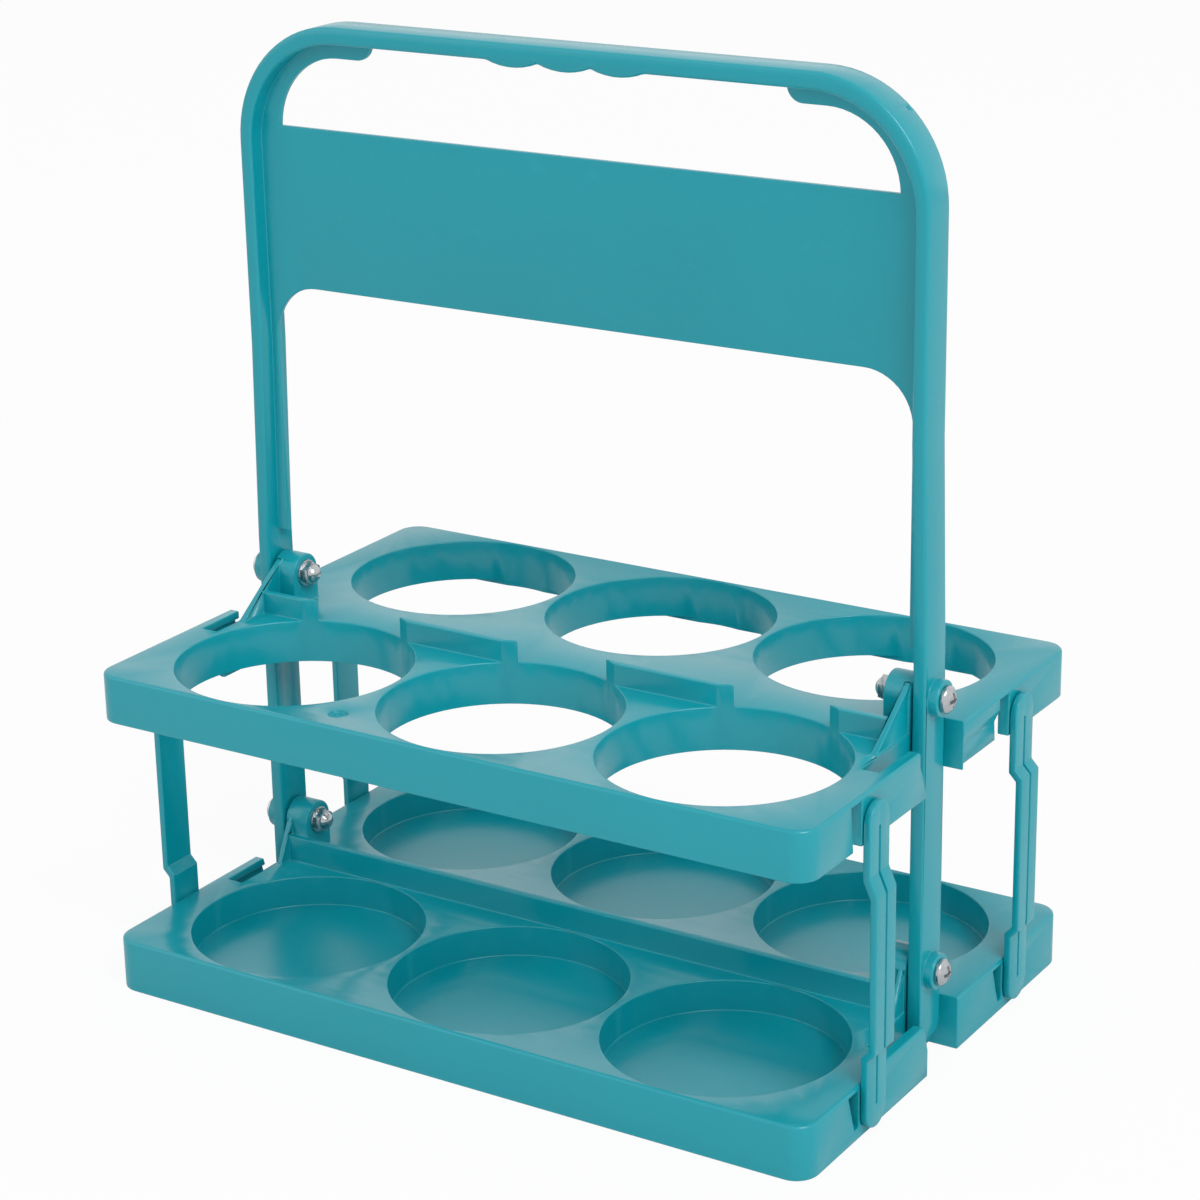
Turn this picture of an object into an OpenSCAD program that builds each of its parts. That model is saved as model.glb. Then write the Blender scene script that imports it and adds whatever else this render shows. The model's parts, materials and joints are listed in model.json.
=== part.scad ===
/* [Body] */
// Length of the tray and the top frame, left to right
body_l = 290; // [289:0.5:292]
// Depth of the tray and the top frame, front to back
body_w = 197; // [196:0.5:200]
// Corner radius of both, seen from above
corner_r = 8.5; // [6:0.5:12]
// Thickness of the outer walls
wall_t = 2.6; // [2.4:0.1:2.8]
// Thickness of the top plates
plate_t = 3; // [2.6:0.1:3.2]

/* [Holes and cups] */
// Distance between holes along a row
cell_pitch = 89; // [88.8:0.1:89.4]
// Distance of a row from the middle line
cell_row = 53.6; // [53.4:0.1:53.8]
// Radius of a hole and of a tray cup
cell_r = 43.2; // [42.6:0.1:43.3]
// Thickness of the collar under a hole and of a cup's wall
collar_t = 1.6; // [1.4:0.1:1.7]
// Height of a cup's floor above the ground
cup_z = 8; // [7:0.5:10]
// Thickness of a cup's floor
cup_floor_t = 2; // [1.6:0.1:2.4]

/* [Heights] */
// Height of the tray
tray_h = 20; // [19:0.5:22]
// Height of the top frame's upper face above the ground
frame_z = 124; // [123:0.5:126]
// Height of the top frame's skirt
frame_h = 18; // [17:0.5:19]

/* [Handle] */
// Height of the handle's top above the ground
handle_z = 344.2; // [340:0.5:350]
// Depth of the handle's rim, front to back
rim_d = 15.2; // [14:0.1:15.6]
// Thickness of the rim on the arms
rim_t = 5.1; // [4.8:0.1:5.2]
// Thickness of the bar along the top
bar_t = 6.3; // [6:0.1:7]
// Outer radius of the two top corners
bow_r = 43.3; // [42:0.1:45]
// Thickness of the panel
panel_t = 2.4; // [2:0.1:3]
// Height of the panel's lower edge above the ground
panel_low_z = 247; // [240:1:252]
// Height of the panel's upper edge above the ground
panel_high_z = 306; // [304:1:310]

/* [Pivots] */
// Height of the lower pivots above the ground
low_pivot_z = 35; // [35:0.5:36]
// Distance between the lower and the upper pivots
pivot_rise = 101; // [100.5:0.5:101.5]
// Radius of an ear's barrel
ear_r = 7.3; // [7:0.1:7.5]
// Radius of the pivot screws
screw_r = 2.5; // [2.4:0.1:2.6]
// Radial clearance of a pivot screw in its holes
screw_gap = 0.05; // [0.03:0.01:0.1]

/* [Links] */
// Distance of the links from the middle line
link_y = 55; // [54.5:0.5:55.5]
// How far the middle of a link stands out from its ends
link_step = 2.8; // [2.6:0.1:2.8]
// Height of the links' lower studs above the ground
link_low_z = 10.8; // [10.5:0.1:11]
// Width of a link
link_w = 14; // [13.6:0.1:14.4]
// Thickness of a link
link_t = 2.6; // [2.4:0.1:2.7]

/* [Hidden] */
$fn = 96;

// Extra length of a cutting shape past the face it opens, and the least thickness of a drawing
cut = 1;
sliver = 0.01;

// Ends of the body and the inner faces of the walls
end_x = body_l / 2;
wall_x = end_x - wall_t;
skirt_z = frame_z - frame_h;
high_pivot_z = low_pivot_z + pivot_rise;
link_high_z = link_low_z + pivot_rise;

// How far a rib or pad reaches into the plate above it, and how high hollows begin
bond = 0.5;
foot_lift = 2;

// Ears: inner and outer end of the barrel
ear_in_x = 123.9;
ear_out_x = 134;
ear_core_t = 2.8;
ear_core_gap = 9;
gusset_t = 2.4;
gusset_out_x = 133.4;
frame_gusset_y = -30;
frame_gusset_top = [-5, 5.6];
tray_gusset_y = -15;
tray_gusset_top = [-5.4, 4.9];

// Slot for an arm, just outside the ear, and the open notch beside it
slot_in_x = ear_out_x;
slot_out_x = 140.6;
slot_back_y = 12;
slot_wall_t = 2.4;
frame_slot_front_y = -42;
tray_slot_front_y = -36;
frame_notch = [[-20.3, 119], [-15, skirt_z]];
tray_notch = [[-14, tray_h], [-11, 10]];

// Stiffening rib across each plate, in front of the middle line
rib_t = 3;
rib_l = 262;
frame_rib_rise = 8.2;
frame_rib_y = -16;
tray_rib_rise = 10;
tray_rib_y = -8.5;

// Pads behind the link studs
pad_in_x = 140.6;
pad_w = link_w;
stud_r = 3;
stud_gap = 0.06;
open_stud_gap = 0.35;
stud_end_gap = 0.2;

// Openings beside the links: width at the top and at the lower end, and rim left above them
vent_w = 7.2;
vent_top_t = 2;
frame_vent_low_w = 5.6;
tray_vent_low_w = 3;
tray_vent_z = 4.5;

// Links: the middle is jogged outwards between two bends
link_gap = 0.3;
link_mid_z = link_low_z + pivot_rise / 2;
link_end_l = 8.5;
link_half_l = pivot_rise / 2 + link_end_l;
link_groove_w = 1.3;
link_groove_t = 0.6;
jog_rise = 30.8;
jog_h = 3;
long_jog_h = 6.4;
jog_lean = 1.4;

// Scoop in the top frame's end wall, behind each arm
scoop_t = 2.4;
scoop_r = 7.5;
scoop_z = 118.5;
scoop_floor_z = 113.5;
scoop_floor_y = 16.5;
scoop_end_y = 43;

// Handle arms: they stand a little further out below the bend than above it
arm_low_x = 140;
arm_high_x = 138.2;
arm_bend_z = [150, 225];
arm_end_z = 9;
arm_end_r = 5;
boss_r = 6.5;
boss_out_x = 143.5;
flange_x = 130.3;
flange_z = 152;
panel_corner_r = 18.3;
grip_x = 124.7;
grip_corner_r = 27;
grip_z = 332;
horn_x = 89;
horn_r = 6;
wave_rise = 2;
wave_xs = [-20, 1, 22];
wave_r = 28;
wave_end_l = 12;
wave_half_l = wave_xs[2] + wave_end_l;

// Fasteners of thread size 5
head_r = 4.75;
head_h = 3.6;
head_gap = 0.15;
washer_gap = 0.15;
washer_t = 0.8;
washer_r = 5;
nut_flats = 8;
nut_hex_h = 2.9;
nut_dome_r = 3.8;
nut_dome_step = 0.1;
nut_dome_foot = 1;
nut_h = 5.4;
nut_gap = 0.02;
nut_bore_end_gap = 0.4;
screw_end_x = 119.6;

plastic = [0.23, 0.64, 0.67];
zinc = [0.8, 0.8, 0.8];

// Rounded rectangle about the origin
module plan(l, w, r) {
    square([l - 2 * r, w], center = true);
    square([l, w - 2 * r], center = true);
    for (sx = [-1, 1], sy = [-1, 1])
        translate([sx * (l / 2 - r), sy * (w / 2 - r)])
            circle(r);
}

// Copies a shape of the right end to the left end
module both_ends() {
    children();
    mirror([1, 0, 0])
        children();
}

// Puts a shape at each of the six holes
module at_cells() {
    for (column = [-1, 0, 1], row = [-1, 1])
        translate([column * cell_pitch, row * cell_row, 0])
            children();
}

// Stands a drawing of the YZ plane up and gives it a thickness from x_in to x_out
module across(x_in, x_out) {
    translate([x_in, 0, 0])
        rotate([90, 0, 90])
            linear_extrude(x_out - x_in)
                children();
}

// Stands a drawing of the XZ plane up, d deep about the middle line
module upright(d) {
    rotate([90, 0, 0])
        linear_extrude(d, center = true)
            children();
}

// Rod or bore along X
module rod(x_in, x_out, r, y, z) {
    translate([x_in, y, z])
        rotate([0, 90, 0])
            cylinder(h = x_out - x_in, r = r);
}

// Plate with a skirt all round, open below
module shell(low_z, high_z) {
    difference() {
        translate([0, 0, low_z])
            linear_extrude(high_z - low_z)
                plan(body_l, body_w, corner_r);
        translate([0, 0, low_z - cut])
            linear_extrude(high_z - plate_t - low_z + cut)
                plan(body_l - 2 * wall_t, body_w - 2 * wall_t, corner_r - wall_t);
    }
}

// Ear with a barrel about the pivot, a post down to the plate and a gusset in front
module ear(pivot_z, plate_z, core_z, gusset_y, gusset_top) {
    difference() {
        union() {
            rod(ear_in_x, ear_out_x, ear_r, 0, pivot_z);
            translate([ear_in_x, -ear_r, core_z])
                cube([ear_out_x - ear_in_x, 2 * ear_r, pivot_z - core_z]);
            across(gusset_out_x - gusset_t, gusset_out_x)
                polygon([
                    [0, pivot_z],
                    [gusset_top.x, pivot_z + gusset_top.y],
                    [gusset_y, plate_z],
                    [gusset_y, plate_z - plate_t],
                    [0, plate_z - plate_t]
                ]);
        }
        translate([ear_in_x + ear_core_t, ear_core_t - ear_r, core_z - cut])
            cube([
                ear_out_x - ear_in_x - 2 * ear_core_t,
                2 * (ear_r - ear_core_t),
                pivot_z - ear_core_gap - core_z + cut
            ]);
    }
}

// Slot through a plate for an arm, and the notch that opens it to the outside
module arm_way(low_z, high_z, slot_front_y, notch) {
    translate([slot_in_x, slot_front_y, low_z])
        cube([slot_out_x - slot_in_x, slot_back_y - slot_front_y, high_z - low_z + cut]);
    across(slot_in_x, end_x + cut)
        polygon([
            [slot_back_y, low_z],
            [slot_back_y, high_z + cut],
            [notch[0].x, high_z + cut],
            notch[0],
            notch[1],
            [notch[1].x, low_z]
        ]);
}

// Walls that line the slot of an arm, under the plate
module slot_walls(low_z, high_z, slot_front_y) {
    inner_x = slot_in_x - slot_wall_t;
    translate([inner_x, slot_front_y, low_z])
        cube([slot_wall_t, slot_back_y - slot_front_y + slot_wall_t, high_z - low_z]);
    translate([inner_x, slot_back_y, low_z])
        cube([wall_x + cut - inner_x, slot_wall_t, high_z - low_z]);
}

// Tapered opening through the wall, in front of each link, under the rounded rim
module link_vents(low_z, high_z, low_w) {
    for (row = [-1, 1])
        across(pad_in_x - cut, end_x + cut)
            translate([row * link_y - link_w / 2, 0])
                polygon([
                    [0, low_z],
                    [0, high_z - vent_top_t],
                    [-vent_w, high_z - vent_top_t],
                    [-low_w, low_z]
                ]);
}

// Pads that thicken the wall behind the links
module link_pads(low_z, high_z) {
    for (row = [-1, 1])
        translate([pad_in_x, row * link_y - pad_w / 2, low_z])
            cube([wall_x - pad_in_x + cut, pad_w, high_z - low_z]);
}

// Holes for the studs of the links
module stud_holes(z, r) {
    for (row = [-1, 1])
        rod(pad_in_x - cut, end_x + cut, r, row * link_y, z);
}

// Hollow of the end wall with a sloped rim and one rounded corner
module end_scoop() {
    floor_x = end_x - scoop_t;
    hull() {
        translate([end_x, slot_back_y, skirt_z - cut])
            cube([cut, scoop_end_y - slot_back_y, scoop_z - skirt_z + cut]);
        across(floor_x, floor_x + sliver) {
            translate([scoop_floor_y + scoop_r, skirt_z - cut])
                square([scoop_end_y - scoop_floor_y - scoop_r, scoop_floor_z - skirt_z + cut]);
            translate([scoop_floor_y, skirt_z - cut])
                square([scoop_r, cut]);
            translate([scoop_floor_y + scoop_r, scoop_floor_z - scoop_r])
                circle(scoop_r, $fn = 32);
        }
    }
}

// Upper plate with the six round holes
module top_frame() {
    rib_z = frame_z - plate_t;
    color(plastic)
        difference() {
            union() {
                shell(skirt_z, frame_z);
                at_cells()
                    translate([0, 0, skirt_z + foot_lift])
                        cylinder(h = frame_h - foot_lift, r = cell_r + collar_t);
                translate([-rib_l / 2, frame_rib_y - rib_t / 2, rib_z])
                    cube([rib_l, rib_t, plate_t + frame_rib_rise]);
                both_ends() {
                    ear(high_pivot_z, frame_z, skirt_z + foot_lift, frame_gusset_y, frame_gusset_top);
                    link_pads(skirt_z, rib_z + bond);
                    slot_walls(skirt_z, rib_z + bond, frame_slot_front_y);
                    translate([pad_in_x, slot_back_y, skirt_z])
                        cube([wall_x - pad_in_x + bond, scoop_end_y - slot_back_y, rib_z + bond - skirt_z]);
                }
            }
            at_cells()
                translate([0, 0, skirt_z])
                    cylinder(h = 2 * frame_h, r = cell_r);
            both_ends() {
                arm_way(skirt_z - cut, frame_z, frame_slot_front_y, frame_notch);
                rod(ear_in_x - cut, ear_out_x + cut, screw_r + screw_gap, 0, high_pivot_z);
                link_vents(skirt_z - cut, frame_z, frame_vent_low_w);
                stud_holes(link_high_z, stud_r + open_stud_gap);
                end_scoop();
            }
        }
}

// Lower plate with a cup under each hole
module bottom_tray() {
    rib_z = tray_h - plate_t;
    color(plastic)
        difference() {
            union() {
                shell(0, tray_h);
                at_cells()
                    translate([0, 0, cup_z - cup_floor_t])
                        cylinder(h = tray_h - cup_z + cup_floor_t, r = cell_r + collar_t);
                translate([-rib_l / 2, tray_rib_y - rib_t / 2, rib_z])
                    cube([rib_l, rib_t, plate_t + tray_rib_rise]);
                both_ends() {
                    ear(low_pivot_z, tray_h, foot_lift, tray_gusset_y, tray_gusset_top);
                    link_pads(0, rib_z + bond);
                    slot_walls(0, rib_z + bond, tray_slot_front_y);
                }
            }
            at_cells()
                translate([0, 0, cup_z])
                    cylinder(h = 2 * tray_h, r = cell_r);
            both_ends() {
                arm_way(-cut, tray_h, tray_slot_front_y, tray_notch);
                rod(ear_in_x - cut, ear_out_x + cut, screw_r + screw_gap, 0, low_pivot_z);
                link_vents(tray_vent_z, tray_h, tray_vent_low_w);
                stud_holes(link_low_z, stud_r + stud_gap);
            }
        }
}

// Outline of the handle, moved in by the thickness of the rim where inset is true
module handle_outline(inset) {
    side = inset ? rim_t : 0;
    top = handle_z - (inset ? bar_t : 0);
    low_x = arm_low_x - side;
    high_x = arm_high_x - side;
    r = bow_r - side;
    bow_x = arm_high_x - bow_r;
    bow_z = top - r;
    polygon([
        [-low_x, arm_end_z - cut],
        [low_x, arm_end_z - cut],
        [low_x, arm_bend_z[0]],
        [high_x, arm_bend_z[1]],
        [high_x, bow_z],
        [-high_x, bow_z],
        [-high_x, arm_bend_z[1]],
        [-low_x, arm_bend_z[0]]
    ]);
    translate([-bow_x, bow_z - cut])
        square([2 * bow_x, r + cut]);
    for (side_x = [-1, 1])
        translate([side_x * bow_x, bow_z])
            circle(r);
}

// Opening for the hand, with a rounded horn of the panel at each end of the bar
module grip_opening() {
    corner_x = grip_x - grip_corner_r;
    corner_z = grip_z - grip_corner_r;
    difference() {
        union() {
            translate([-corner_x, panel_high_z])
                square([2 * corner_x, grip_z - panel_high_z]);
            for (side = [-1, 1])
                translate([side * corner_x, corner_z])
                    circle(grip_corner_r);
        }
        translate([-grip_x - cut, 0])
            square([2 * (grip_x + cut), panel_high_z]);
    }
    difference() {
        translate([-horn_x, grip_z - cut])
            square([2 * horn_x, handle_z - grip_z]);
        for (side = [-1, 1])
            translate([side * horn_x, grip_z + horn_r])
                circle(horn_r);
    }
}

// Wide opening under the panel, down between the arms
module low_opening() {
    corner_x = flange_x - panel_corner_r;
    corner_z = panel_low_z - panel_corner_r;
    translate([-corner_x, flange_z])
        square([2 * corner_x, panel_low_z - flange_z]);
    translate([-flange_x, flange_z - cut])
        square([2 * flange_x, corner_z - flange_z + cut]);
    for (side = [-1, 1])
        translate([side * corner_x, corner_z])
            circle(panel_corner_r);
}

// Round-cornered lower end of an arm, seen from the side
module arm_end_cut() {
    for (side = [-1, 1])
        difference() {
            translate([side * rim_d / 2 - (side > 0 ? arm_end_r : cut), arm_end_z - cut])
                square([arm_end_r + cut, arm_end_r + cut]);
            translate([side * (rim_d / 2 - arm_end_r), arm_end_z + arm_end_r])
                circle(arm_end_r);
        }
}

// Handle, panel and both arms, moulded in one
module carry_handle() {
    color(plastic)
        difference() {
            union() {
                difference() {
                    upright(rim_d)
                        handle_outline(false);
                    upright(rim_d + 2 * cut)
                        handle_outline(true);
                }
                upright(panel_t)
                    difference() {
                        intersection() {
                            handle_outline(false);
                            translate([-end_x, flange_z])
                                square([2 * end_x, handle_z - flange_z - cut]);
                        }
                        grip_opening();
                        low_opening();
                    }
                upright(rim_d)
                    intersection() {
                        translate([-wave_half_l, handle_z - bar_t - wave_rise])
                            square([2 * wave_half_l, wave_rise + cut]);
                        union()
                            for (x = wave_xs)
                                translate([x, handle_z - bar_t - wave_rise + wave_r])
                                    circle(wave_r);
                    }
                both_ends()
                    for (z = [low_pivot_z, high_pivot_z])
                        rod(arm_low_x - cut, boss_out_x, boss_r, 0, z);
            }
            translate([-end_x, -rim_d, 0])
                cube([2 * end_x, 2 * rim_d, arm_end_z]);
            both_ends() {
                across(arm_low_x - rim_t - cut, arm_low_x + cut)
                    arm_end_cut();
                for (z = [low_pivot_z, high_pivot_z])
                    rod(arm_low_x - rim_t - cut, boss_out_x + cut, screw_r + screw_gap, 0, z);
            }
        }
}

// Side outline of a link: both ends lie at the wall and the middle stands out from it
module link_outline(high_jog_h) {
    in_x = end_x + link_gap;
    out_x = in_x + link_step;
    polygon([
        [in_x, link_half_l],
        [in_x, jog_rise - jog_lean + high_jog_h / 2],
        [out_x, jog_rise - jog_lean - high_jog_h / 2],
        [out_x, jog_lean + jog_h / 2 - jog_rise],
        [in_x, jog_lean - jog_h / 2 - jog_rise],
        [in_x, -link_half_l],
        [in_x + link_t, -link_half_l],
        [in_x + link_t, -jog_rise - jog_h / 2],
        [out_x + link_t, jog_h / 2 - jog_rise],
        [out_x + link_t, jog_rise - high_jog_h / 2],
        [in_x + link_t, jog_rise + high_jog_h / 2],
        [in_x + link_t, link_half_l]
    ]);
}

// Right-hand link about the middle line, with round ends, two studs and a line down its face
module link(high_jog_h) {
    in_x = end_x + link_gap;
    arc_z = link_half_l - link_w / 2;
    color(plastic) {
        difference() {
            intersection() {
                upright(link_w)
                    link_outline(high_jog_h);
                across(in_x - cut, in_x + link_step + link_t + cut) {
                    square([link_w, 2 * arc_z], center = true);
                    for (side = [-1, 1])
                        translate([0, side * arc_z])
                            circle(link_w / 2);
                }
            }
            translate([link_t - link_groove_t, 0, 0])
                upright(link_groove_w)
                    intersection() {
                        link_outline(high_jog_h);
                        translate([0, -pivot_rise / 2])
                            square([body_l, pivot_rise]);
                    }
        }
        for (side = [-1, 1])
            rod(pad_in_x + stud_end_gap, in_x + link_t / 2, stud_r, 0, side * pivot_rise / 2);
    }
}

// Puts a link of the right end at the front or rear
module right_link(row) {
    translate([0, row * link_y, link_mid_z])
        link(row < 0 ? long_jog_h : jog_h);
}

// Puts a link of the left end at the front or rear, turned end for end
module left_link(row) {
    translate([0, row * link_y, link_mid_z])
        rotate([0, 180, 0])
            link(jog_h);
}

// Half of a pan head screw's section, with the thread's end at the origin
module screw_section(shank_l) {
    edge_h = 1.4;
    dome_h = head_h - edge_h;
    dome_r = (head_r * head_r + dome_h * dome_h) / (2 * dome_h);
    square([screw_r, shank_l + edge_h]);
    intersection() {
        translate([0, shank_l])
            square([head_r, head_h]);
        translate([0, shank_l + head_h - dome_r])
            circle(dome_r, $fn = 180);
    }
}

// Pan head screw with a cross recess, through an arm into an ear
module pivot_screw(z) {
    head_x = boss_out_x + head_gap;
    recess_w = 1.3;
    recess_l = 5.4;
    recess_h = 2.2;
    color(zinc)
        difference() {
            translate([screw_end_x, 0, z])
                rotate([0, 90, 0])
                    rotate_extrude()
                        screw_section(head_x - screw_end_x);
            translate([head_x + head_h - recess_h, 0, z]) {
                translate([0, -recess_l / 2, -recess_w / 2])
                    cube([recess_h + cut, recess_l, recess_w]);
                translate([0, -recess_w / 2, -recess_l / 2])
                    cube([recess_h + cut, recess_w, recess_l]);
            }
        }
}

// Flat washer against the ear's inner end
module washer(z) {
    color(zinc)
        difference() {
            rod(ear_in_x - washer_t, ear_in_x, washer_r, 0, z);
            rod(ear_in_x - washer_t - cut, ear_in_x + cut, screw_r + washer_gap, 0, z);
        }
}

// Cap nut on the screw's end
module cap_nut(z) {
    base_x = ear_in_x - washer_t;
    corner = nut_flats / sqrt(3);
    color(zinc)
        difference() {
            union() {
                translate([base_x - nut_hex_h, 0, z])
                    rotate([0, 90, 0])
                        cylinder(h = nut_hex_h, r = corner, $fn = 6);
                intersection() {
                    rod(base_x - nut_h, base_x - nut_dome_foot, nut_dome_r, 0, z);
                    translate([base_x - nut_h + nut_dome_r, 0, z])
                        sphere(nut_dome_r);
                }
                rod(base_x - nut_hex_h, base_x - nut_dome_foot, nut_dome_r - nut_dome_step, 0, z);
            }
            rod(screw_end_x - nut_bore_end_gap, base_x + cut, screw_r + nut_gap, 0, z);
        }
}

top_frame();
bottom_tray();
carry_handle();
right_link(-1);  // link_front_right
right_link(1);  // link_rear_right
left_link(-1);  // link_front_left
left_link(1);  // link_rear_left
pivot_screw(low_pivot_z);  // screw_lower_right
mirror([1, 0, 0]) pivot_screw(low_pivot_z);  // screw_lower_left
pivot_screw(high_pivot_z);  // screw_upper_right
mirror([1, 0, 0]) pivot_screw(high_pivot_z);  // screw_upper_left
washer(low_pivot_z);  // washer_lower_right
mirror([1, 0, 0]) washer(low_pivot_z);  // washer_lower_left
washer(high_pivot_z);  // washer_upper_right
mirror([1, 0, 0]) washer(high_pivot_z);  // washer_upper_left
cap_nut(low_pivot_z);  // nut_lower_right
mirror([1, 0, 0]) cap_nut(low_pivot_z);  // nut_lower_left
cap_nut(high_pivot_z);  // nut_upper_right
mirror([1, 0, 0]) cap_nut(high_pivot_z);  // nut_upper_left
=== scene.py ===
# %% [markdown]
# # A folding carrier with six places
# The real object is four kinds of moulding and a few small steel fasteners. A tray with six cups and
# a top frame with six holes are held apart by a handle and by four side links, and all of it pivots.
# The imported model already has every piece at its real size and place. This lesson gives the pieces
# the soft edges, the small marks of moulding and the finishes that make them look real.

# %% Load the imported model
import json
import math

import bmesh
import bpy
from mathutils import Matrix, Vector


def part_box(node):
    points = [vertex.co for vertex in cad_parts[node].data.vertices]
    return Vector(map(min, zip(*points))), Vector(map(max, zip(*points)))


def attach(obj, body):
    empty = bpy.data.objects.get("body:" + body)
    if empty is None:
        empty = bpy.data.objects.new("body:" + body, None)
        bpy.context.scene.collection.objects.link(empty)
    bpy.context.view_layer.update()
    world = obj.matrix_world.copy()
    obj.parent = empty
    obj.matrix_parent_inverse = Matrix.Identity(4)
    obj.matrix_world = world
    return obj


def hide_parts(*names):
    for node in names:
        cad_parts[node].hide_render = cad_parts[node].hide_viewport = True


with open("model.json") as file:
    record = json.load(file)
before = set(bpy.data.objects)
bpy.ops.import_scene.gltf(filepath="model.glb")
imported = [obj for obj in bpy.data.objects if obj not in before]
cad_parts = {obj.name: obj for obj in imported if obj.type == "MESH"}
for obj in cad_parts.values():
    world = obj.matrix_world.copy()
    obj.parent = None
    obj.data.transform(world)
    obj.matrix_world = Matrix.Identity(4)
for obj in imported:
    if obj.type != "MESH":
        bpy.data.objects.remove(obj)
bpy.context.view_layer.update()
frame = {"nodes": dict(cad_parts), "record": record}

# %% [markdown]
# ## Units and the small helpers
# The scene is in metres, but the pieces are thought of in millimetres, so one function turns them.
# Colours are written as a picker shows them, in sRGB, and a second function makes them linear, which
# is what the shaders work in. A third adds one node of a material with its settings and its links,
# a fourth starts a material, and a fifth puts a new object into the scene.

# %% Millimetres, colours, nodes and objects
def mm(value):
    """A length in millimetres, in metres."""
    return value / 1000


def linear(code):
    """An sRGB hex colour as linear RGBA."""
    def channel(value):
        return value / 12.92 if value <= 0.04045 else ((value + 0.055) / 1.055) ** 2.4
    return [channel(int(code[i:i + 2], 16) / 255) for i in (1, 3, 5)] + [1]


def add_node(tree, kind, settings=None, inputs=None, links=None):
    """Adds a node: settings are its attributes, inputs its socket values, links what feeds it."""
    node = tree.nodes.new(kind)
    for name, value in (settings or {}).items():
        setattr(node, name, value)
    for name, value in (inputs or {}).items():
        node.inputs[name].default_value = value
    for name, source in (links or {}).items():
        tree.links.new(source, node.inputs[name])
    return node


def new_material(name):
    """An empty material with its output, ready for nodes."""
    material = bpy.data.materials.new(name)
    material.use_nodes = True
    material.node_tree.nodes.clear()
    output = add_node(material.node_tree, "ShaderNodeOutputMaterial")
    return material, material.node_tree, output


def add_object(name, data):
    """Puts a mesh, a lamp or a camera into the scene."""
    made = bpy.data.objects.new(name, data)
    bpy.context.scene.collection.objects.link(made)
    return made


print("1 mm is", mm(1), "m, and middle grey is", round(linear("#808080")[0], 3), "in linear light")

# %% [markdown]
# ## The camera
# A photograph's view is set by where the camera stands, which way it looks and how long its lens is.
# The view here stands to the front right and a little above, far enough away that upright lines stay
# almost upright. The turn about its own axis is the small tilt that a hand-held camera has.

# %% Viewpoint and lens
CAMERA_TURN = 32.43
CAMERA_RISE = 19.45
CAMERA_TILT = -1.06
CAMERA_PLACE = (580.97, -902.87, 525.36)
LENS = 95.815
SENSOR = 36


def camera_axes(turn, rise, tilt):
    """The camera's right, up and back directions, from three angles in degrees."""
    a, e, t = (math.radians(angle) for angle in (turn, rise, tilt))
    back = Vector((math.sin(a) * math.cos(e), -math.cos(a) * math.cos(e), math.sin(e)))
    right = Vector((math.cos(a), math.sin(a), 0))
    up = back.cross(right)
    return (math.cos(t) * right + math.sin(t) * up,
            math.cos(t) * up - math.sin(t) * right,
            back)


def add_camera():
    """Puts the camera at the photograph's viewpoint."""
    data = bpy.data.cameras.new("camera")
    data.lens = LENS
    data.sensor_width = SENSOR
    camera = add_object("camera", data)
    right, up, back = camera_axes(CAMERA_TURN, CAMERA_RISE, CAMERA_TILT)
    rotation = Matrix((right, up, back)).transposed().to_4x4()
    camera.matrix_world = Matrix.Translation([mm(v) for v in CAMERA_PLACE]) @ rotation
    bpy.context.scene.camera = camera
    return camera


camera = add_camera()
print("camera:", [round(v, 3) for v in camera.location], "lens", camera.data.lens)

# %% [markdown]
# ## The colour of moulded polypropylene
# The big pieces are polypropylene, shot into a steel mould and pushed out by pins. The colour is in
# the plastic itself, and it differs a little where the melt flowed. Handled places turn a little paler.
# The convex edges are painted paler as well, as a painted highlight along them. Noise patterns mix
# close tones of one hue for this, and the bend of the surface finds the edges. The tones are deep,
# because the shine of a surface lays white over the colour below it.

# %% Colour of the plastic
FLOW_LENGTH = mm(60)


def flow_wear_and_edge_highlight(tree, place, scuff, base, deep, pale):
    """The plastic's colour: two tones along the flow of the melt, paler where it is rubbed, and a painted
    highlight that makes convex edges paler.
    """
    flow = add_node(tree, "ShaderNodeTexNoise", inputs={"Scale": 1 / FLOW_LENGTH, "Detail": 3},
                    links={"Vector": place})
    tones = add_node(tree, "ShaderNodeMix", {"data_type": "RGBA"},
                     inputs={6: linear(deep), 7: linear(base)}, links={0: flow.outputs["Fac"]})
    scuff_mask = add_node(tree, "ShaderNodeMapRange",
                          inputs={"From Min": 0.56, "From Max": 0.72, "To Min": 0, "To Max": 0.08},
                          links={"Value": scuff})
    # Painted highlight: convex edges, found by the bend of the surface, are painted in the paler tone.
    edge = add_node(tree, "ShaderNodeNewGeometry")
    edge_highlight_mask = add_node(tree, "ShaderNodeMapRange",
                         inputs={"From Min": 0.51, "From Max": 0.58, "To Min": 0, "To Max": 0.18},
                         links={"Value": edge.outputs["Pointiness"]})
    wear_and_edge_highlight = add_node(tree, "ShaderNodeMath", {"operation": "MAXIMUM"},
                    links={0: scuff_mask.outputs["Result"], 1: edge_highlight_mask.outputs["Result"]})
    colour = add_node(tree, "ShaderNodeMix", {"data_type": "RGBA"}, inputs={7: linear(pale)},
                      links={0: wear_and_edge_highlight.outputs["Value"], 6: tones.outputs[2]})
    return colour.outputs[2]


print("flow marks:", round(FLOW_LENGTH / mm(1)), "mm long")

# %% [markdown]
# ## The relief of the plastic
# The mould's spark-worn faces leave a very fine grain, and the plastic shrinks a little over the
# thick places, so wide faces are never quite flat and their highlights wander. Two bumps show this.
# The grain is about 0.4 mm across on the real thing, and drawn at 0.7 mm here, so that it shows at
# all. The waves of shrinkage are about 25 mm long.

# %% Relief of the plastic
GRAIN = mm(0.7)
SHRINK_WAVE = mm(25)


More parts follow.
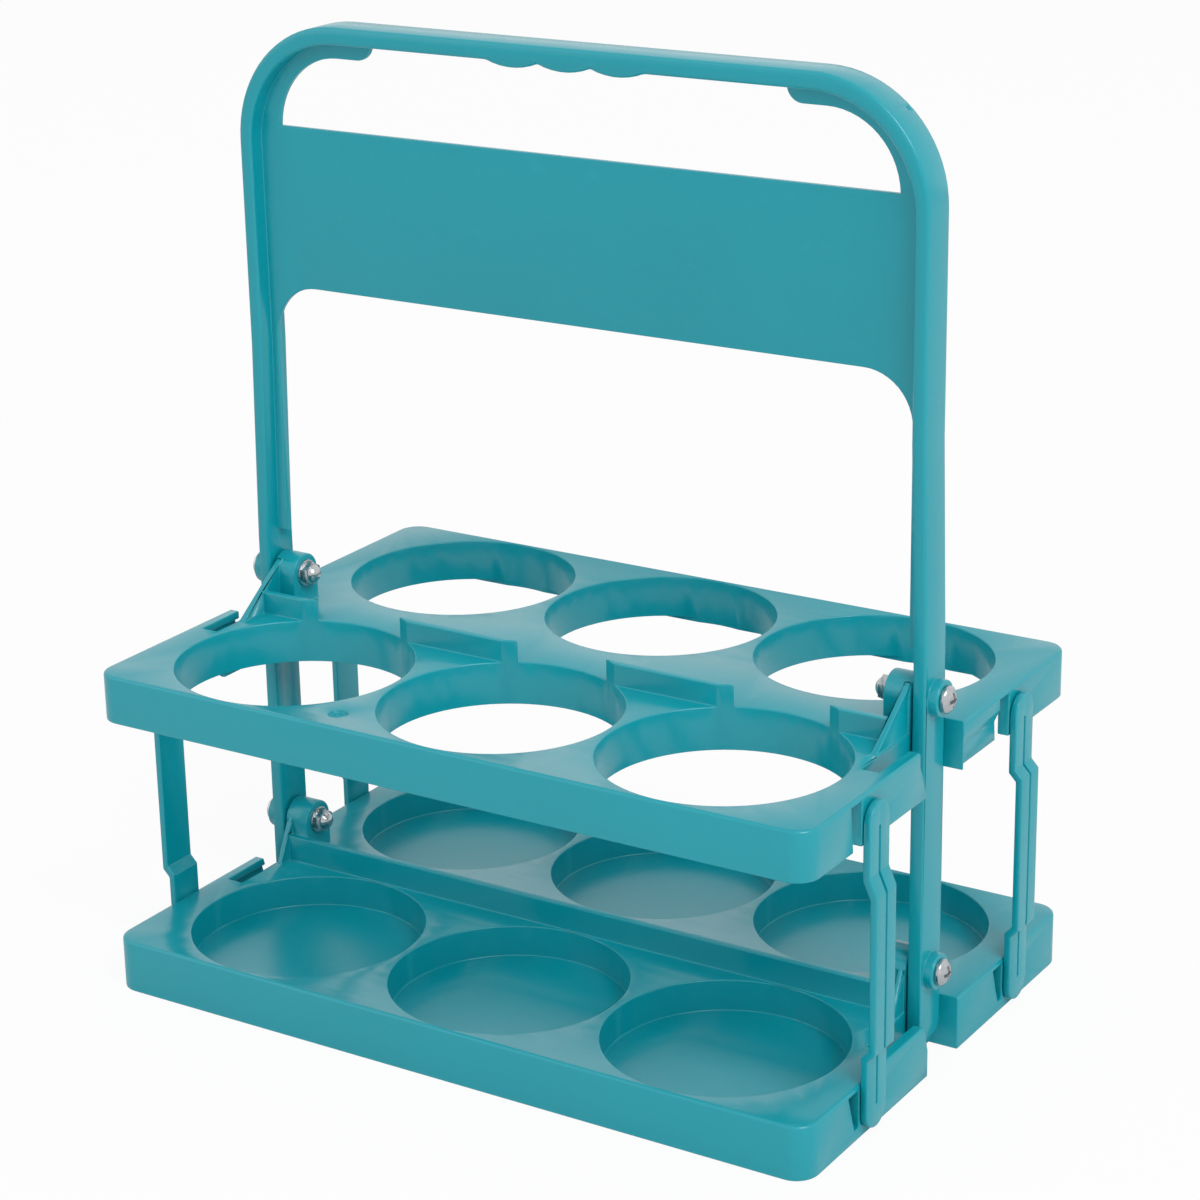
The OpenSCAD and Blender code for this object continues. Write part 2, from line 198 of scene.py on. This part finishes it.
def moulded_relief(tree, place):
    """The plastic's bumps: long waves of shrinkage, and the mould's fine grain on top of them."""
    waves = add_node(tree, "ShaderNodeTexNoise", inputs={"Scale": 1 / SHRINK_WAVE, "Detail": 1},
                     links={"Vector": place})
    wave_bump = add_node(tree, "ShaderNodeBump", inputs={"Strength": 0.16, "Distance": mm(0.9)},
                         links={"Height": waves.outputs["Fac"]})
    grain = add_node(tree, "ShaderNodeTexNoise", inputs={"Scale": 1 / GRAIN, "Detail": 2},
                     links={"Vector": place})
    grain_bump = add_node(tree, "ShaderNodeBump", inputs={"Strength": 0.09, "Distance": mm(0.06)},
                          links={"Height": grain.outputs["Fac"], "Normal": wave_bump.outputs["Normal"]})
    return grain_bump.outputs["Normal"]


print("grain:", GRAIN / mm(1), "mm across, waves:", round(SHRINK_WAVE / mm(1)), "mm long")

# %% [markdown]
# ## The shine of the plastic
# Polypropylene bends light with an index of 1.49. Out of a smooth mould it has a soft gloss, which is
# duller in handled patches about 9 mm wide. A little light goes in and comes out nearby, mostly green
# and blue, and takes the hardness off the shadows. So the roughness follows the same patches as the
# paler colour, and a small share of the light goes below the surface.

# %% Polypropylene material
POLYPROPYLENE_IOR = 1.49
SCUFF = mm(9)


def polypropylene(name, base, deep, pale):
    """Moulded polypropylene in one hue: base, its deeper flow marks, and the paler tone of its rubbed
    places and of the painted highlight on its edges.
    """
    material, tree, output = new_material(name)
    place = add_node(tree, "ShaderNodeTexCoord").outputs["Object"]
    scuff = add_node(tree, "ShaderNodeTexNoise", inputs={"Scale": 1 / SCUFF, "Detail": 6, "Roughness": 0.7},
                     links={"Vector": place}).outputs["Fac"]
    rough = add_node(tree, "ShaderNodeMapRange",
                     inputs={"From Min": 0.3, "From Max": 0.75, "To Min": 0.2, "To Max": 0.27},
                     links={"Value": scuff})
    shader = add_node(tree, "ShaderNodeBsdfPrincipled",
                      inputs={"IOR": POLYPROPYLENE_IOR, "Subsurface Weight": 0.06,
                              "Subsurface Scale": mm(1.2), "Subsurface Radius": (0.4, 1, 1)},
                      links={"Base Color": flow_wear_and_edge_highlight(tree, place, scuff, base, deep, pale),
                             "Roughness": rough.outputs["Result"],
                             "Normal": moulded_relief(tree, place)})
    tree.links.new(shader.outputs["BSDF"], output.inputs["Surface"])
    return material


teal_plastic = polypropylene("teal_polypropylene", "#049EAD", "#0398A6", "#45B8C2")
print("material:", teal_plastic.name)

# %% [markdown]
# ## Zinc-plated steel
# The screws, nuts and washers are cold-formed steel with a bright zinc coat a few thousandths of a
# millimetre thick. The forming tools leave very fine marks, and the coat has a faint cloudiness, so
# the reflections are bright but a little broken. A metal keeps the shader's usual index of refraction,
# because its colour sets the strength of its reflections. The marks are drawn about 0.35 mm across,
# coarser than they are, and the clouds 1.6 mm.

# %% Zinc material
TOOL_MARK = mm(0.35)
CLOUD = mm(1.6)


def zinc_plate(name):
    """Bright zinc over cold-formed steel."""
    material, tree, output = new_material(name)
    place = add_node(tree, "ShaderNodeTexCoord").outputs["Object"]
    cloud = add_node(tree, "ShaderNodeTexNoise", inputs={"Scale": 1 / CLOUD, "Detail": 4},
                     links={"Vector": place}).outputs["Fac"]
    tint = add_node(tree, "ShaderNodeMix", {"data_type": "RGBA"},
                    inputs={6: linear("#A4A8AC"), 7: linear("#C9CBCC")}, links={0: cloud})
    rough = add_node(tree, "ShaderNodeMapRange",
                     inputs={"From Min": 0.3, "From Max": 0.7, "To Min": 0.14, "To Max": 0.3},
                     links={"Value": cloud})
    marks = add_node(tree, "ShaderNodeTexNoise", inputs={"Scale": 1 / TOOL_MARK, "Detail": 1},
                     links={"Vector": place})
    bump = add_node(tree, "ShaderNodeBump", inputs={"Strength": 0.15, "Distance": mm(0.03)},
                    links={"Height": marks.outputs["Fac"]})
    shader = add_node(tree, "ShaderNodeBsdfPrincipled", inputs={"Metallic": 1},
                      links={"Base Color": tint.outputs[2], "Roughness": rough.outputs["Result"],
                             "Normal": bump.outputs["Normal"]})
    tree.links.new(shader.outputs["BSDF"], output.inputs["Surface"])
    return material


zinc = zinc_plate("zinc_plated_steel")
print("material:", zinc.name)

# %% [markdown]
# ## From a sharp solid to a moulding
# A mould can't have a perfectly sharp corner, and a sharp corner would catch no light. Each piece
# starts as a copy of its solid: doubled points are welded and the flat faces are made whole again.
# The finished copy then replaces the solid, and rides on the same body.

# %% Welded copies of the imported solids
FLAT_ANGLE = math.radians(0.6)
WELD = mm(0.02)

body_of = {node: body for body, nodes in frame["record"]["behaviour"]["bodies"].items() for node in nodes}


def clean_copy(node, name):
    """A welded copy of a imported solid, with its flat faces made whole."""
    mesh = frame["nodes"][node].data.copy()
    mesh.name = name
    work = bmesh.new()
    work.from_mesh(mesh)
    bmesh.ops.remove_doubles(work, verts=work.verts, dist=WELD)
    bmesh.ops.dissolve_degenerate(work, edges=work.edges, dist=WELD)
    bmesh.ops.dissolve_limit(work, angle_limit=FLAT_ANGLE, verts=work.verts, edges=work.edges)
    work.to_mesh(mesh)
    work.free()
    return add_object(name, mesh)


def finish_piece(piece, node, material):
    """Gives the piece its material, its body and the solid that it stands for."""
    piece.data.materials.clear()
    piece.data.materials.append(material)
    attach(piece, body_of[node])
    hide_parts(node)


print("solids to copy:", len(body_of))

# %% [markdown]
# ## The marks that the mould leaves
# Plastic enters a mould through a small gate, and the stub that is left there is kept below the
# surface, so that it can't scratch a hand. The top frame has a round hollow with the stub standing in
# it, and the handle has a small pit on its right corner. Each is cut by a turned form, which is a
# ring of points for every step of its outline. The form is deleted once it has made its hollow.

# %% A turned form
FORM_CORNERS = 32


def form_ring(work, radius, height, place, turn):
    """One ring of points of a form, at a height in millimetres above its place."""
    ring = []
    for step in range(FORM_CORNERS):
        angle = math.tau * step / FORM_CORNERS
        corner = Vector((radius * math.cos(angle), radius * math.sin(angle), height))
        ring.append(work.verts.new(Vector(place) + turn @ corner * mm(1)))
    return ring


def turned_form(outline, place, direction):
    """A closed round form whose outline is steps of (radius, height), standing at a place."""
    turn = Vector(direction).to_track_quat("Z", "Y").to_matrix()
    work = bmesh.new()
    rings = [form_ring(work, radius, height, place, turn) for radius, height in outline]
    for low, high in zip(rings, rings[1:]):
        for step in range(FORM_CORNERS):
            after = (step + 1) % FORM_CORNERS
            work.faces.new((low[step], low[after], high[after], high[step]))
    work.faces.new(reversed(rings[0]))
    work.faces.new(rings[-1])
    mesh = bpy.data.meshes.new("form")
    work.to_mesh(mesh)
    work.free()
    return add_object("form", mesh)


def press_in(piece, form):
    """Cuts a form out of a piece and deletes the form."""
    hollow = piece.modifiers.new("hollow", "BOOLEAN")
    hollow.operation = "DIFFERENCE"
    hollow.solver = "EXACT"
    hollow.object = form
    bpy.context.view_layer.update()
    evaluated = piece.evaluated_get(bpy.context.evaluated_depsgraph_get())
    result = bpy.data.meshes.new_from_object(evaluated)
    piece.modifiers.remove(hollow)
    piece.data = result
    result.name = piece.name
    bpy.data.objects.remove(form)


print("corners of a form's ring:", FORM_CORNERS)

# %% The two gates
FRAME_TOP = 124
FRAME_GATE_PLACE = (-45, -87.2, FRAME_TOP)
FRAME_GATE = [(0.8, -0.5), (1, -1.1), (3.2, -1.1), (3.5, 0.6)]
HANDLE_SIDE = 138.2
HANDLE_CORNER = 43.3
HANDLE_GATE_TURN = math.radians(47.3)
HANDLE_GATE_BACK = 4.6
HANDLE_GATE = [(0.5, -0.5), (1.3, 0.4)]


def frame_gate():
    """The form of the top frame's gate hollow, with its stub left standing."""
    return turned_form(FRAME_GATE, [mm(value) for value in FRAME_GATE_PLACE], (0, 0, 1))


def handle_gate():
    """The form of the pit on the round of the handle's right top corner."""
    handle_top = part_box("carry_handle")[1].z
    outward = Vector((math.cos(HANDLE_GATE_TURN), 0, math.sin(HANDLE_GATE_TURN)))
    centre = Vector((mm(HANDLE_SIDE - HANDLE_CORNER), mm(HANDLE_GATE_BACK), handle_top - mm(HANDLE_CORNER)))
    return turned_form(HANDLE_GATE, centre + outward * mm(HANDLE_CORNER), outward)


gates = {"top_frame": frame_gate, "carry_handle": handle_gate}
print("pieces with a gate mark:", ", ".join(gates))

# %% [markdown]
# ## Round edges
# The hand meets the outer rims, so the mould makes them rounder than the edges inside. A bevel can
# take its width from a weight on each edge. An edge counts as a corner if its faces turn by more than
# thirteen degrees, since the steps of a round wall turn by less. Faces with many corners are cut into
# triangles first, because a bevel can fold such a face over itself.

# %% A bevel by weights
EDGE_ANGLE = math.radians(13)
MOST_CORNERS = 8
WIDEST = 1.1


def weigh_corners(work, width):
    """Gives each corner edge its width as a share of the widest one, and counts them."""
    weight = work.edges.layers.float.new("bevel_weight_edge")
    corners = 0
    for edge in work.edges:
        if len(edge.link_faces) == 2 and edge.calc_face_angle() > EDGE_ANGLE:
            a, b = (vert.co / mm(1) for vert in edge.verts)
            edge[weight] = width(a, b) / WIDEST
            corners += 1
    return corners


def round_edges(piece, width, segments=3):
    """Bevels the corner edges. An edge's width comes from its two ends, all in millimetres."""
    work = bmesh.new()
    work.from_mesh(piece.data)
    wide = [face for face in work.faces if len(face.verts) > MOST_CORNERS]
    bmesh.ops.triangulate(work, faces=wide, quad_method="BEAUTY", ngon_method="BEAUTY")
    corners = weigh_corners(work, width)
    for face in work.faces:
        face.smooth = True
    work.to_mesh(piece.data)
    work.free()
    bevel = piece.modifiers.new("rounded edges", "BEVEL")
    bevel.limit_method = "WEIGHT"
    bevel.width = mm(WIDEST)
    bevel.segments = segments
    bevel.use_clamp_overlap = False
    bevel.loop_slide = False
    bevel.harden_normals = True
    print(piece.name, "corner edges:", corners)


print("widest round:", WIDEST, "mm")

# %% [markdown]
# ## How round each edge is
# The widths follow what such mouldings show and the room that there is. The broad round runs along
# the outer top rims of the frame and the tray, and along the handle's front and rear above its
# pivots. The feet of the round walls almost meet other edges, so they take a very fine one. A rim is
# found by how far a point lies inside the plate's outline, which has round corners.

# %% Edges of the frame and the tray
CLOSE = 0.1
OUTLINE_CORNER = 8.5
RIM_REACH = 0.35
TRAY_TOP = 20
FRAME_FOOT = 108
TRAY_FOOT = 6
PLATE_EDGE = 0.5
FOOT_EDGE = 0.15


def inset(point, high):
    """How far a point lies inside a plate's rounded outline with that high corner, in millimetres."""
    over = [abs(point[axis]) - high[axis] + OUTLINE_CORNER for axis in (0, 1)]
    return OUTLINE_CORNER - math.hypot(max(over[0], 0), max(over[1], 0)) - min(max(over), 0)


def plate_edge(node, top, foot):
    """Edge widths of a plate: broad on its outer top rim, very fine on the feet of its round walls."""
    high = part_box(node)[1] / mm(1)

    def on_rim(point):
        return abs(point.z - top) < CLOSE and inset(point, high) < RIM_REACH

    def width(a, b):
        if on_rim(a) and on_rim(b):
            return WIDEST
        return FOOT_EDGE if all(abs(point.z - foot) < CLOSE for point in (a, b)) else PLATE_EDGE
    return width


print("plates: rims", WIDEST, "mm, feet", FOOT_EDGE, "mm, other edges", PLATE_EDGE, "mm")

# %% Edges of the handle
HANDLE_HALF_DEPTH = 7.6
PIVOTS_TOP = 146
ARM_EDGE = 0.45
INNER_EDGE = 0.4


def handle_edge(a, b):
    """Edge widths of the handle: broad along its front and rear, finer on the arms and in corners."""
    along_face = all(abs(abs(point.y) - HANDLE_HALF_DEPTH) < CLOSE for point in (a, b))
    if not along_face:
        return INNER_EDGE
    return WIDEST if min(a.z, b.z) > PIVOTS_TOP else ARM_EDGE


print("handle: front and rear", WIDEST, "mm, arms", ARM_EDGE, "mm, inside", INNER_EDGE, "mm")

# %% Edges of the links and the fasteners
LINK_Y = 55
LINK_MIDDLE = 61.3
LINK_INNER_FACE = 145.5
STUD_RISE = 50.5
STUD_REACH = 3.3
LINE_HALF_LENGTH = 51
LINE_REACH = 1
LINK_EDGE = 0.5
FINE_LINK_EDGE = 0.2
FASTENER_EDGE = 0.08


def at_stud(point):
    """Whether a point belongs to one of a link's two studs."""
    rise = abs(abs(point.z - LINK_MIDDLE) - STUD_RISE)
    return math.hypot(abs(point.y) - LINK_Y, rise) < STUD_REACH and abs(point.x) < LINK_INNER_FACE


def in_line(point):
    """Whether a point is on the fine line down a link's face."""
    return abs(abs(point.y) - LINK_Y) < LINE_REACH and abs(point.z - LINK_MIDDLE) < LINE_HALF_LENGTH


def link_edge(a, b):
    """Edge widths of a link: its outline is rounder than its studs and its line."""
    fine = (at_stud(a) and at_stud(b)) or (in_line(a) and in_line(b))
    return FINE_LINK_EDGE if fine else LINK_EDGE


def fastener_edge(a, b):
    """Edge width of the small steel pieces, the same everywhere."""
    return FASTENER_EDGE


print("links:", LINK_EDGE, "and", FINE_LINK_EDGE, "mm, fasteners:", FASTENER_EDGE, "mm")

# %% [markdown]
# ## The mouldings
# There are seven: the top frame, the tray, the handle with its panel and arms, and four links. Each is
# copied, takes its gate mark while the edges are still sharp, gets its round edges and then its
# plastic. The gate mark comes first so that its own rim is rounded too.

# %% Make the mouldings
edges = {"top_frame": plate_edge("top_frame", FRAME_TOP, FRAME_FOOT),
         "bottom_tray": plate_edge("bottom_tray", TRAY_TOP, TRAY_FOOT),
         "carry_handle": handle_edge}
for end in ("right", "left"):
    edges["link_front_" + end] = link_edge
    edges["link_rear_" + end] = link_edge
for node, width in edges.items():
    piece = clean_copy(node, node + "_moulding")
    if node in gates:
        press_in(piece, gates[node]())
    round_edges(piece, width)
    finish_piece(piece, node, teal_plastic)

# %% [markdown]
# ## The fasteners
# A screw with its washer and cap nut sits at each of the four pivots. Pressed and rolled steel keeps
# almost sharp edges, so their round is very small, and two steps are enough for it.

# %% Make the fasteners
for node in sorted(frame["nodes"]):
    if node.split("_")[0] in ("screw", "washer", "nut"):
        piece = clean_copy(node, node + "_metal")
        round_edges(piece, fastener_edge, segments=2)
        finish_piece(piece, node, zinc)

# %% [markdown]
# ## The floor
# The object stands on a plain pale floor. The floor could be a lit white sheet, but then its grey
# would change with the lamps. So what the camera sees is mostly a steady white glow, mixed with just
# enough of the lit paint to keep the object's soft shadow.

# %% White floor
FLOOR_SIZE = 12
GLOW_SHARE = 0.92


def floor_paint():
    """Matt white paint that looks evenly white to the camera and keeps a faint shadow."""
    material, tree, output = new_material("matt_white_floor")
    paint = add_node(tree, "ShaderNodeBsdfPrincipled",
                     inputs={"Roughness": 0.9, "Base Color": linear("#F4F4F4")})
    glow = add_node(tree, "ShaderNodeEmission", inputs={"Strength": 1})
    path = add_node(tree, "ShaderNodeLightPath")
    share = add_node(tree, "ShaderNodeMath", {"operation": "MULTIPLY"}, inputs={1: GLOW_SHARE},
                     links={0: path.outputs["Is Camera Ray"]})
    mix = add_node(tree, "ShaderNodeMixShader",
                   links={0: share.outputs["Value"], 1: paint.outputs["BSDF"], 2: glow.outputs["Emission"]})
    tree.links.new(mix.outputs["Shader"], output.inputs["Surface"])
    return material


def add_floor():
    """A wide flat floor at the height that the object stands on."""
    half = FLOOR_SIZE / 2
    mesh = bpy.data.meshes.new("floor")
    mesh.from_pydata([(-half, -half, 0), (half, -half, 0), (half, half, 0), (-half, half, 0)], [],
                     [(0, 1, 2, 3)])
    mesh.materials.append(floor_paint())
    floor = add_object("floor", mesh)


add_floor()
print("floor:", FLOOR_SIZE, "m wide")

# %% [markdown]
# ## The light
# The studio light is soft and plain: a wide lamp high on the right, a weaker one on the left, and an
# even sky. The sky's light is softer than white, but where the camera or shiny metal looks straight
# at it, it is white. A light path node tells these rays from those that light the object.

# %% Lamps and sky
KEY = {"place": (1.7, -0.85, 2.0), "size": 1.3, "power": 31}
FILL = {"place": (-1.7, -1.5, 1.1), "size": 1.6, "power": 5}
LAMP_AIM = (0, 0, 0.15)
SKY = 0.62


def add_lamp(name, place, size, power):
    """A square soft lamp that looks at the middle of the object."""
    data = bpy.data.lights.new(name, "AREA")
    data.size = size
    data.energy = power
    lamp = add_object(name, data)
    lamp.location = place
    lamp.rotation_euler = (Vector(LAMP_AIM) - lamp.location).to_track_quat("-Z", "Y").to_euler()


def seen_directly(tree):
    """1 where the camera, a mirror or a glass looks straight at it, and 0 where it gives light."""
    path = add_node(tree, "ShaderNodeLightPath")
    eye_or_mirror = add_node(tree, "ShaderNodeMath", {"operation": "MAXIMUM"},
                             links={0: path.outputs["Is Camera Ray"], 1: path.outputs["Is Glossy Ray"]})
    any_of_them = add_node(tree, "ShaderNodeMath", {"operation": "MAXIMUM"},
                           links={0: eye_or_mirror.outputs["Value"],
                                  1: path.outputs["Is Transmission Ray"]})
    return any_of_them.outputs["Value"]


def add_sky():
    """An even sky, white where it is looked at and softer where it lights."""
    world = bpy.data.worlds.new("studio")
    world.use_nodes = True
    tree = world.node_tree
    tree.nodes.clear()
    white = linear("#FFFFFF")
    light = add_node(tree, "ShaderNodeBackground", inputs={"Color": white, "Strength": SKY})
    backdrop = add_node(tree, "ShaderNodeBackground", inputs={"Color": white, "Strength": 1})
    mix = add_node(tree, "ShaderNodeMixShader",
                   links={0: seen_directly(tree), 1: light.outputs["Background"],
                          2: backdrop.outputs["Background"]})
    output = add_node(tree, "ShaderNodeOutputWorld")
    tree.links.new(mix.outputs["Shader"], output.inputs["Surface"])
    bpy.context.scene.world = world


add_lamp("key lamp", **KEY)
add_lamp("fill lamp", **FILL)
add_sky()
bpy.context.scene.view_settings.view_transform = "Standard"
print("lamps:", KEY["power"], "and", FILL["power"], "W, sky", SKY)
